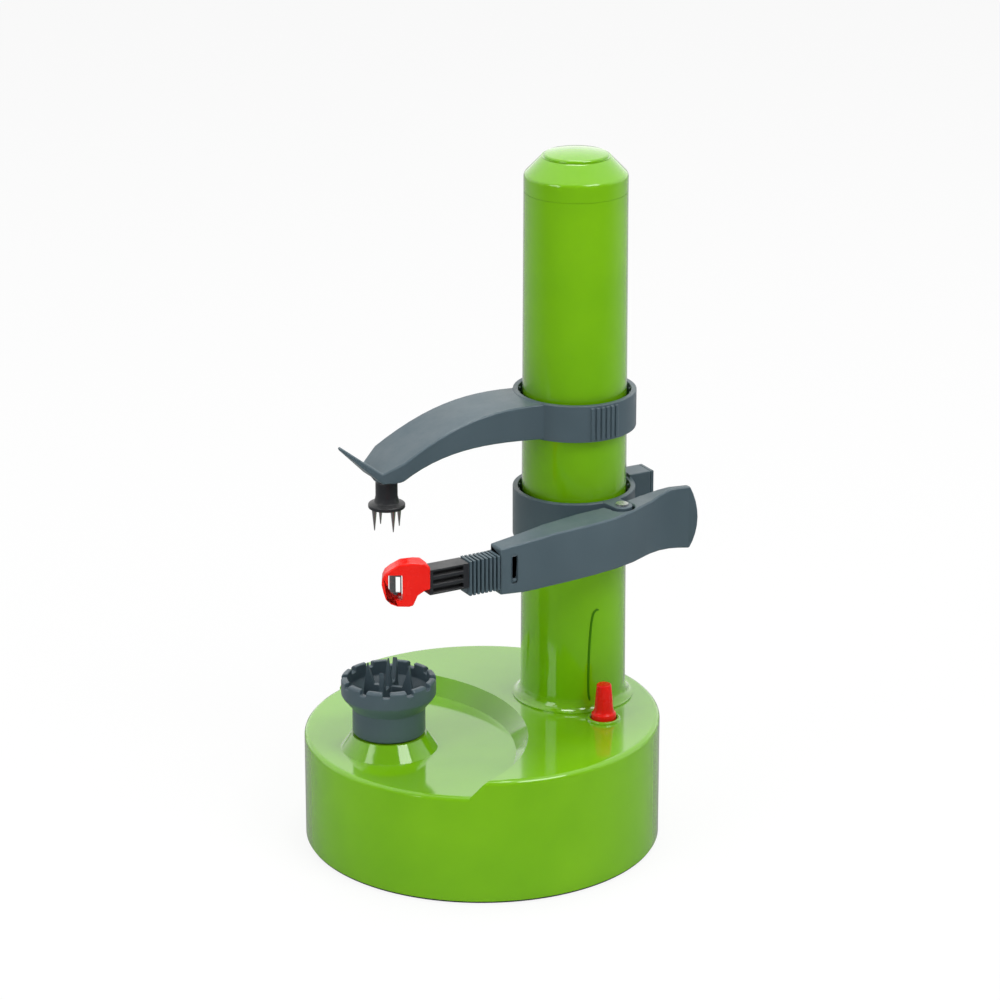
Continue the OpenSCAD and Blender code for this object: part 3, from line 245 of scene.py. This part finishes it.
def spread(tree, value, low, high):
    """Out = low + (value - 0.3) / 0.4 x (high - low), held between both, as most of a noise lies in 0.3 to 0.7."""
    node = add(tree, "ShaderNodeMapRange")
    for label, end in (("From Min", 0.3), ("From Max", 0.7), ("To Min", low), ("To Max", high), ("Value", value)):
        put(tree, node.inputs[label], end)
    return node.outputs[0]


def mix_colour(tree, factor, low, high):
    """Colour = low x (1 - factor) + high x factor."""
    node = add(tree, "ShaderNodeMix", data_type="RGBA")
    for index, value in ((0, factor), (6, low), (7, high)):
        put(tree, node.inputs[index], value)
    return node.outputs[2]


def bump(group, height, strength, distance, normal=None):
    """Normal tilted by the height's slope x strength, where a full step of the height is `distance` metres."""
    node = add(group, "ShaderNodeBump")
    for label, value in (("Height", height), ("Strength", strength), ("Distance", distance)):
        put(group, node.inputs[label], value)
    if normal is not None:
        put(group, node.inputs["Normal"], normal)
    return node.outputs[0]


def give(group, outs, **results):
    """Links each result to the group's output of that name."""
    for label, value in results.items():
        group.links.new(value, outs.inputs[label])


def moulded_skin():
    """Colour = deep to full by a slow noise; roughness = low to high by a finer one; normal = grain over waves."""
    group, ins, outs = shader_group("moulded_skin", [
        ("Colour", "Color", (0.5, 0.5, 0.5, 1)), ("Deep Colour", "Color", (0.4, 0.4, 0.4, 1)),
        ("Low Roughness", "Float", 0.25), ("High Roughness", "Float", 0.35),
        ("Grain Scale", "Float", 2500.0), ("Grain Depth", "Float", 0.1), ("Wave Depth", "Float", 0.05)],
        [("Colour", "Color"), ("Roughness", "Float"), ("Normal", "Vector")])
    coords = add(group, "ShaderNodeTexCoord").outputs["Object"]
    flow = spread(group, noise(group, coords, 22, 2), 0.0, 1.0)
    shade = mix_colour(group, flow, ins.outputs["Deep Colour"], ins.outputs["Colour"])
    haze = spread(group, noise(group, coords, 90, 5, 0.65), ins.outputs["Low Roughness"],
                  ins.outputs["High Roughness"])
    wave = bump(group, noise(group, coords, 55, 1), ins.outputs["Wave Depth"], 0.0004)
    grain = noise(group, coords, ins.outputs["Grain Scale"], 2)
    give(group, outs, Colour=shade, Roughness=haze,
         Normal=bump(group, grain, ins.outputs["Grain Depth"], 0.00006, wave))
    return group


def settled_dust():
    """Mask = how much a face looks up x patches of noise x amount. It mixes in a pale dust."""
    group, ins, outs = shader_group("settled_dust", [
        ("Colour", "Color", (0.5, 0.5, 0.5, 1)), ("Amount", "Float", 0.1)], [("Colour", "Color")])
    geometry = add(group, "ShaderNodeNewGeometry")
    up = add(group, "ShaderNodeSeparateXYZ")
    group.links.new(geometry.outputs["Normal"], up.inputs[0])
    coords = add(group, "ShaderNodeTexCoord").outputs["Object"]
    patches = spread(group, noise(group, coords, 60, 6, 0.7), 0.0, 1.0)
    lying = maths(group, "MULTIPLY", up.outputs["Z"], patches, clamp=True)
    mask = maths(group, "MULTIPLY", lying, ins.outputs["Amount"], clamp=True)
    give(group, outs, Colour=mix_colour(group, mask, ins.outputs["Colour"], (0.62, 0.6, 0.56, 1)))
    return group


def drawn_metal():
    """Brushing = noise stretched along one axis, which moves colour, roughness and the normal together."""
    group, ins, outs = shader_group("drawn_metal", [
        ("Colour", "Color", (0.6, 0.6, 0.6, 1)), ("Stretch", "Vector", (1, 1, 0.05)),
        ("Low Roughness", "Float", 0.2), ("High Roughness", "Float", 0.4), ("Line Depth", "Float", 0.2)],
        [("Colour", "Color"), ("Roughness", "Float"), ("Normal", "Vector")])
    coords = add(group, "ShaderNodeTexCoord").outputs["Object"]
    squeeze = add(group, "ShaderNodeVectorMath", operation="MULTIPLY")
    group.links.new(coords, squeeze.inputs[0])
    group.links.new(ins.outputs["Stretch"], squeeze.inputs[1])
    lines = noise(group, squeeze.outputs[0], 2600, 3)
    dark = mix_colour(group, 0.22, ins.outputs["Colour"], (0.1, 0.1, 0.1, 1))
    shade = mix_colour(group, spread(group, lines, 0, 1), dark, ins.outputs["Colour"])
    give(group, outs, Colour=shade,
         Roughness=spread(group, lines, ins.outputs["Low Roughness"], ins.outputs["High Roughness"]),
         Normal=bump(group, lines, ins.outputs["Line Depth"], 0.00005))
    return group


MOULDED = moulded_skin()
DUST = settled_dust()
DRAWN = drawn_metal()
print("shader groups:", MOULDED.name, DUST.name, DRAWN.name)

# %% [markdown]
# ## The plastics and the metals
# The green shell is a glossy, strongly coloured plastic with a little light inside it. The arms are a satin
# slate grey with a deeper grain. Steel, brass and the motor's plated can share the drawn-metal group and differ in
# colour and in the way that the lines run.

# %% Materials by slot
def shaded(tree, kind, values, **settings):
    """A node whose inputs are given by name."""
    node = add(tree, kind, **settings)
    for label, value in values.items():
        put(tree, node.inputs[label], value)
    return node


def plastic(name, colour, deep, rough, grain, wave=0.05, dust=0.1, coat=0.0, scatter=0.0, grain_scale=2500.0,
            ior=1.4):
    """Principled plastic whose colour, roughness and normal come from the moulded skin, under some dust."""
    mat = new_material(name)
    tree = mat.node_tree
    skin = shaded(tree, "ShaderNodeGroup", {
        "Colour": (*colour, 1), "Deep Colour": (*deep, 1), "Low Roughness": rough[0], "High Roughness": rough[1],
        "Grain Scale": grain_scale, "Grain Depth": grain, "Wave Depth": wave}, node_tree=MOULDED)
    film = shaded(tree, "ShaderNodeGroup", {"Colour": skin.outputs["Colour"], "Amount": dust}, node_tree=DUST)
    bsdf = shaded(tree, "ShaderNodeBsdfPrincipled", {
        "Base Color": film.outputs["Colour"], "Roughness": skin.outputs["Roughness"],
        "Normal": skin.outputs["Normal"], "IOR": ior, "Coat Weight": coat, "Coat Roughness": 0.08,
        "Subsurface Weight": scatter, "Subsurface Radius": (0.6, 1.0, 0.3), "Subsurface Scale": 0.002})
    shaded(tree, "ShaderNodeOutputMaterial", {"Surface": bsdf.outputs[0]})
    return mat


def metal(name, colour, rough, stretch=(1, 1, 0.05), lines=0.2):
    """Principled metal whose colour, roughness and normal come from the drawn lines."""
    mat = new_material(name)
    tree = mat.node_tree
    skin = shaded(tree, "ShaderNodeGroup", {
        "Colour": (*colour, 1), "Stretch": stretch, "Low Roughness": rough[0], "High Roughness": rough[1],
        "Line Depth": lines}, node_tree=DRAWN)
    bsdf = shaded(tree, "ShaderNodeBsdfPrincipled", {
        "Base Color": skin.outputs["Colour"], "Roughness": skin.outputs["Roughness"],
        "Normal": skin.outputs["Normal"], "Metallic": 1.0})
    shaded(tree, "ShaderNodeOutputMaterial", {"Surface": bsdf.outputs[0]})
    return mat


FINISH = {
    "green_plastic": plastic("green_plastic", (0.2, 0.5, 0.003), (0.165, 0.44, 0.002), (0.06, 0.12), 0.03,
                             wave=0.06, dust=0.02, coat=0.9, scatter=0.08, ior=1.3),
    "slate_plastic": plastic("slate_plastic", (0.083, 0.124, 0.148), (0.064, 0.098, 0.118), (0.3, 0.42), 0.22,
                             dust=0.08, ior=1.36),
    "black_plastic": plastic("black_plastic", (0.028, 0.031, 0.035), (0.018, 0.020, 0.024), (0.3, 0.42), 0.18,
                             dust=0.12),
    # green_in_shade is the green with painted shade: darker and duller, for the line on the column's foot
    "green_in_shade": plastic("green_in_shade", (0.055, 0.21, 0.002), (0.045, 0.17, 0.002), (0.5, 0.6), 0.03,
                              ior=1.12),
    "red_plastic": plastic("red_plastic", (0.95, 0.014, 0.006), (0.8, 0.008, 0.004), (0.22, 0.32), 0.05,
                           dust=0.0, scatter=0.05, ior=1.32),
    "rubber_feet": plastic("rubber_feet", (0.03, 0.03, 0.03), (0.018, 0.018, 0.018), (0.75, 0.9), 0.5,
                           dust=0.3, grain_scale=1200.0),
    "white_plastic": plastic("white_plastic", (0.78, 0.77, 0.72), (0.7, 0.69, 0.63), (0.35, 0.5), 0.1),
    "battery_wrap": plastic("battery_wrap", (0.045, 0.055, 0.08), (0.03, 0.04, 0.06), (0.18, 0.26), 0.05,
                            coat=0.3),
    "wire_insulation": plastic("wire_insulation", (0.5, 0.03, 0.03), (0.4, 0.02, 0.02), (0.4, 0.55), 0.1),
    "steel": metal("steel", (0.6, 0.6, 0.61), (0.22, 0.42)),
    "blade_steel": metal("blade_steel", (0.72, 0.73, 0.75), (0.1, 0.24), stretch=(0.05, 1, 1), lines=0.1),
    "motor_can": metal("motor_can", (0.55, 0.55, 0.57), (0.28, 0.45), lines=0.1),
    "brass": metal("brass", (0.7, 0.48, 0.16), (0.25, 0.42)),
}
SLOT_OF = {part["node"]: part["material_slot"] for part in frame["record"]["subparts"]}
for name, node in NODES.items():
    for place in node.material_slots:
        place.material = FINISH[SLOT_OF[name]]
print("finishes:", len(FINISH), "on", len(NODES), "nodes")

# %% [markdown]
# ## Softening the edges of the moulded pieces
# No moulded edge is knife sharp: the steel of the mould gives each a small round, and that round is what catches
# the light. The solids have crisp edges, so a copy of each solid is merged into one skin, its flat faces are
# joined up, and a Bevel modifier rolls every edge that turns by more than a set angle. Each edge has its own
# weight, so the grip ribs on the arm's ring and the rim of the cap get a finer round than the rest of their
# pieces. Weighted normals then keep the broad faces flat in the shading.

# %% Soft-edged copies
def edge_turns(mesh):
    """How far the surface turns at each edge: the angle whose cosine is the product of the two face normals."""
    edge_of = np.empty(len(mesh.loops), int)
    mesh.loops.foreach_get("edge_index", edge_of)
    sides = np.empty(len(mesh.polygons), int)
    mesh.polygons.foreach_get("loop_total", sides)
    normals = np.empty(3 * len(sides))
    mesh.polygons.foreach_get("normal", normals)
    normals = normals.reshape(-1, 3)
    order = np.argsort(edge_of, kind="stable")
    face_of = np.repeat(np.arange(len(sides)), sides)[order]
    first = np.searchsorted(edge_of[order], np.arange(len(mesh.edges)), side="left")
    last = np.searchsorted(edge_of[order], np.arange(len(mesh.edges)), side="right") - 1
    return np.arccos(np.clip((normals[face_of[first]] * normals[face_of[last]]).sum(1), -1, 1))


def edge_shares(mesh, turn, fine):
    """Share = 1 where an edge turns by more than `turn` degrees, and less inside `fine`.

    `fine` is an upright cylinder in millimetres with its share: (x, y, radius, low, high, share).
    """
    ends = np.empty(2 * len(mesh.edges), int)
    mesh.edges.foreach_get("vertices", ends)
    at = np.empty(3 * len(mesh.vertices))
    mesh.vertices.foreach_get("co", at)
    middle = at.reshape(-1, 3)[ends.reshape(-1, 2)].mean(1) / MM
    share = (edge_turns(mesh) > np.radians(turn)).astype(float)
    if fine is not None:
        x, y, radius, low, high, part = fine
        near = np.hypot(middle[:, 0] - x, middle[:, 1] - y) < radius
        share[near & (middle[:, 2] > low) & (middle[:, 2] < high)] *= part
    return share


def soft_edged(node, width, fine=None, segments=2, turn=34):
    """A copy of the node's mesh with each edge rounded to width x its share, in millimetres."""
    mesh = NODES[node].data.copy()
    mesh.name = node + "_soft"
    work = bmesh.new()
    work.from_mesh(mesh)
    bmesh.ops.remove_doubles(work, verts=work.verts, dist=2e-6)
    bmesh.ops.dissolve_limit(work, angle_limit=0.012, verts=work.verts, edges=work.edges)
    work.to_mesh(mesh)
    work.free()
    mesh.polygons.foreach_set("use_smooth", np.ones(len(mesh.polygons), bool))
    mesh.set_sharp_from_angle(angle=np.radians(turn + 8))
    piece = bpy.data.objects.new(node + "_soft", mesh)
    scene.collection.objects.link(piece)
    roll = piece.modifiers.new("edge_round", "BEVEL")
    roll.width = width * MM
    roll.segments = segments
    roll.limit_method = "WEIGHT"
    weight = mesh.attributes.new("bevel_weight_edge", "FLOAT", "EDGE")
    weight.data.foreach_set("value", edge_shares(mesh, turn, fine))
    roll.use_clamp_overlap = False
    roll.miter_outer = "MITER_ARC"
    flat = piece.modifiers.new("flat_faces", "WEIGHTED_NORMAL")
    flat.keep_sharp = True
    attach(piece, BODY_OF[node])
    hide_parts(node)
    return piece


BODY_OF = {node: body for body, held in frame["record"]["behaviour"]["bodies"].items() for node in held}
EDGE_ROUND = {"top_arm": 0.6, "carriage": 0.35, "nut_cover": 0.3, "peel_lever": 0.7, "blade_neck": 0.25,
              "louvre_block": 0.25, "blade_holder": 0.5, "holder_cup": 0.4, "spindle_hub": 0.3,
              "column_cap": 0.8, "cap_disc": 0.5, "cup_prongs": 0.25}
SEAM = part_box("column_tube")[1][2] / MM
FINER = {"top_arm": (43.5, 0, 27.5, 0, 300, 0.5), "column_cap": (43.5, 0, 25, SEAM - 1, SEAM + 1, 0.3)}
for node, width in EDGE_ROUND.items():
    piece = soft_edged(node, width, fine=FINER.get(node))
    print(piece.name, "faces:", len(piece.data.polygons))

# %% [markdown]
# ## Two springs
# Two coil springs are squeezed while a slide moves: one under the start button and one behind the half nut. Each
# is shown as a copy of its solid, with a mesh of its own, that rides with its body in place of the solid.

# %% Springs
def giving_spring(node):
    """A copy of a coil's mesh that rides with the coil's body and takes the coil's place."""
    piece = bpy.data.objects.new(node + "_giving", NODES[node].data.copy())
    scene.collection.objects.link(piece)
    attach(piece, BODY_OF[node])
    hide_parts(node)
    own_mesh(piece)


giving_spring("button_spring")
giving_spring("nut_spring")

# %% [markdown]
# ## Surfaces on a grid
# The pieces that deserve a finer shape than a solid gives are worked out as grids: a table of points, row by row,
# that numpy computes in one go. One helper turns such a table into a skin, closes it round its columns, merges
# the points that meet at a pole or a seam and makes every face look outwards.

# %% Grid skins
def grid_skin(name, node, table, finish=None, smooth_turn=40):
    """One piece from a table of points (rows x columns x 3, in millimetres). Columns close on themselves."""
    rows, cols, _ = table.shape
    at = np.arange(rows * cols).reshape(rows, cols)
    after = np.roll(at, -1, axis=1)
    quads = np.stack([at[:-1], after[:-1], after[1:], at[1:]], -1).reshape(-1, 4)
    mesh = bpy.data.meshes.new(name)
    mesh.from_pydata((table.reshape(-1, 3) * MM).tolist(), [], quads.tolist())
    work = bmesh.new()
    work.from_mesh(mesh)
    bmesh.ops.remove_doubles(work, verts=work.verts, dist=1e-6)
    bmesh.ops.recalc_face_normals(work, faces=work.faces)
    work.to_mesh(mesh)
    work.free()
    mesh.polygons.foreach_set("use_smooth", np.ones(len(mesh.polygons), bool))
    mesh.set_sharp_from_angle(angle=np.radians(smooth_turn))
    mesh.materials.append(FINISH[finish or SLOT_OF[node]])
    piece = bpy.data.objects.new(name, mesh)
    scene.collection.objects.link(piece)
    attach(piece, BODY_OF[node])
    return piece


def rounded_path(corners, radius, steps=5):
    """An open path through the corners. Each inner corner is a curve from `radius` before it to as far past it.

    Point = (1 - t)^2 start + 2 t (1 - t) corner + t^2 end, and no curve takes over 0.45 of a side.
    """
    corners = np.asarray(corners, float)
    before, here, after = corners[:-2], corners[1:-1], corners[2:]

    def towards(other):
        way = other - here
        far = np.linalg.norm(way, axis=1, keepdims=True)
        return here + way / far * np.minimum(radius, far * 0.45)

    start, end = towards(before), towards(after)
    t = np.linspace(0, 1, steps)[None, :, None]
    bends = (1 - t) ** 2 * start[:, None] + 2 * t * (1 - t) * here[:, None] + t ** 2 * end[:, None]
    return np.vstack([corners[:1], bends.reshape(-1, 2), corners[-1:]])


def turned_table(profile, centre, swell=None, columns=96):
    """Point = centre + radius x (cos, sin), at its height. `swell(angle, height)` adds to the radius."""
    angle = np.linspace(0, 2 * np.pi, columns, endpoint=False)[None, :]
    radius, height = profile[:, :1], profile[:, 1:]
    if swell is not None:
        radius = radius + swell(angle, height) * (radius > 0.01)
    return np.stack([centre[0] + radius * np.cos(angle), centre[1] + radius * np.sin(angle),
                     height + 0 * angle], -1)


def box_mm(node):
    """Lowest and highest corner of a node, in millimetres."""
    low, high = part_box(node)
    return np.array(low) / MM, np.array(high) / MM


# %% [markdown]
# ## The start button
# On the real thing it is one red moulding: a flat collar that slides in its well, and a tall cone with shallow
# flutes for a fingertip. The outline is turned about the button's axis and the flutes are a soft wave in the
# radius that fades out towards both ends of the cone, so no cutting is needed. A low green ring stands round the
# well's mouth.

# %% Start button
PLATFORM = 54.0
STEM_R, CONE_R, TIP_R = 1.9, 3.95, 3.05


def build_button(flutes=10, depth=0.22, height=15.8, fade=1.5):
    """Radius = outline - depth x cos^8(flutes x angle / 2) x window.

    The window is 1 along the cone and falls to 0 over `fade` millimetres at both of its ends.
    """
    low, high = box_mm("start_button")
    centre = (low + high)[:2] / 2
    top = high[2]
    collar = top - height
    foot, crown = collar + 4.6, top - 1.2
    outline = rounded_path([(0, low[2]), (STEM_R, low[2]), (STEM_R, collar), (5.1, collar), (5.15, collar + 2.8),
                            (4.3, collar + 3.5), (CONE_R, foot + 0.2), (TIP_R, top - 0.2), (0, top)], 0.6)
    dome = [(r, top - 0.1 + 0.1 * np.cos(r)) for r in (2, 1, 0.5)]
    outline = np.vstack([outline[:-1], dome, outline[-1:]])
    between = np.linspace(0, 1, 9)[2:-1, None]
    cone = np.array([(CONE_R, foot)]) * (1 - between) + np.array([(TIP_R, top - 0.9)]) * between
    spot = int(np.argmax(outline[:, 1] > foot + 0.6))
    outline = np.vstack([outline[:spot], cone, outline[spot:]])

    def flute(angle, z):
        window = np.clip((z - foot) / fade, 0, 1) * np.clip((crown - z) / fade, 0, 1)
        return -depth * np.cos(flutes * angle / 2) ** 8 * window

    piece = grid_skin("start_button_moulding", "start_button", turned_table(outline, centre, flute))
    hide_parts("start_button")
    print(piece.name, "top at", round(float(top), 2), "mm, faces:", len(piece.data.polygons))
    return centre


def build_button_seat(centre, inner=5.45, outer=7.2, rise=1.2, sunk=0.4):
    """A green ring from `inner` to `outer` radius, `sunk` into the base and `rise` above it, with a round top."""
    outline = rounded_path([(inner, PLATFORM - sunk), (inner, PLATFORM + rise), (outer - 0.4, PLATFORM + rise),
                            (outer, PLATFORM - sunk)], 0.5)
    outline = np.vstack([outline, outline[:1]])
    piece = grid_skin("start_button_seat", "base_shell", turned_table(outline, centre))
    print(piece.name, "faces:", len(piece.data.polygons))


build_button_seat(build_button())

# %% [markdown]
# ## The line at the foot of the column
# A thin raised line runs up the front of the column's foot and hooks over at its end. It is a low rib: a half
# oval carried along a path that is drawn on the column's own surface, by angle and height. Its darker green is
# painted shade, as if the line lay in its own shadow. It is too low for the carriage to touch.

# %% Foot line
COLUMN_R = 22.0
LINE_KEYS = np.array([(-100, 57.4), (-101.6, 59.2), (-102.9, 63), (-102.8, 71), (-102.3, 79), (-101.2, 87),
                      (-99.8, 93.5), (-97.6, 97.4), (-94, 98.6), (-90.5, 98.2)])


def build_foot_line(rib=0.5, rise=0.22, rows=90, blur=8, columns=16):
    """Point = the column's wall at (angle, height) + rib x cos(u) to the side + rise x sin(u) outwards.

    The key points are joined, then smoothed by a bell of `blur` rows to each side. Over `blur` rows at both
    ends the rib tapers with the square root.
    """
    low, high = box_mm("column_cap")
    axis = (low + high)[:2] / 2
    wall = COLUMN_R - 0.05
    t = np.linspace(0, len(LINE_KEYS) - 1, rows)
    way = np.stack([np.interp(t, np.arange(len(LINE_KEYS)), LINE_KEYS[:, i]) for i in (0, 1)], 1)
    bell = np.exp(-0.5 * (np.arange(-blur, blur + 1) / 3.5) ** 2)
    padded = np.pad(way, ((blur, blur), (0, 0)), mode="edge")
    way = np.stack([np.convolve(padded[:, i], bell / bell.sum(), "valid") for i in (0, 1)], 1)
    arc_way = np.stack([np.radians(way[:, 0]) * wall, way[:, 1]], 1)
    run = np.gradient(arc_way, axis=0)
    side = np.stack([-run[:, 1], run[:, 0]], 1) / np.linalg.norm(run, axis=1, keepdims=True)
    row = np.arange(rows)
    taper = np.clip(np.minimum(row, rows - 1 - row) / blur, 0, 1)[:, None] ** 0.5
    around = np.linspace(0, 2 * np.pi, columns, endpoint=False)[None, :]
    across = rib * taper * np.cos(around)
    out = wall + rise * taper * np.maximum(np.sin(around), -0.4)
    angle = (arc_way[:, :1] + across * side[:, :1]) / wall
    height = arc_way[:, 1:] + across * side[:, 1:]
    table = np.stack([axis[0] + out * np.cos(angle), axis[1] + out * np.sin(angle), height], -1)
    # The rib wears green_in_shade, the green with painted shade.
    piece = grid_skin("column_foot_line", "column_tube", table, finish="green_in_shade")
    print(piece.name, "faces:", len(piece.data.polygons))


build_foot_line()
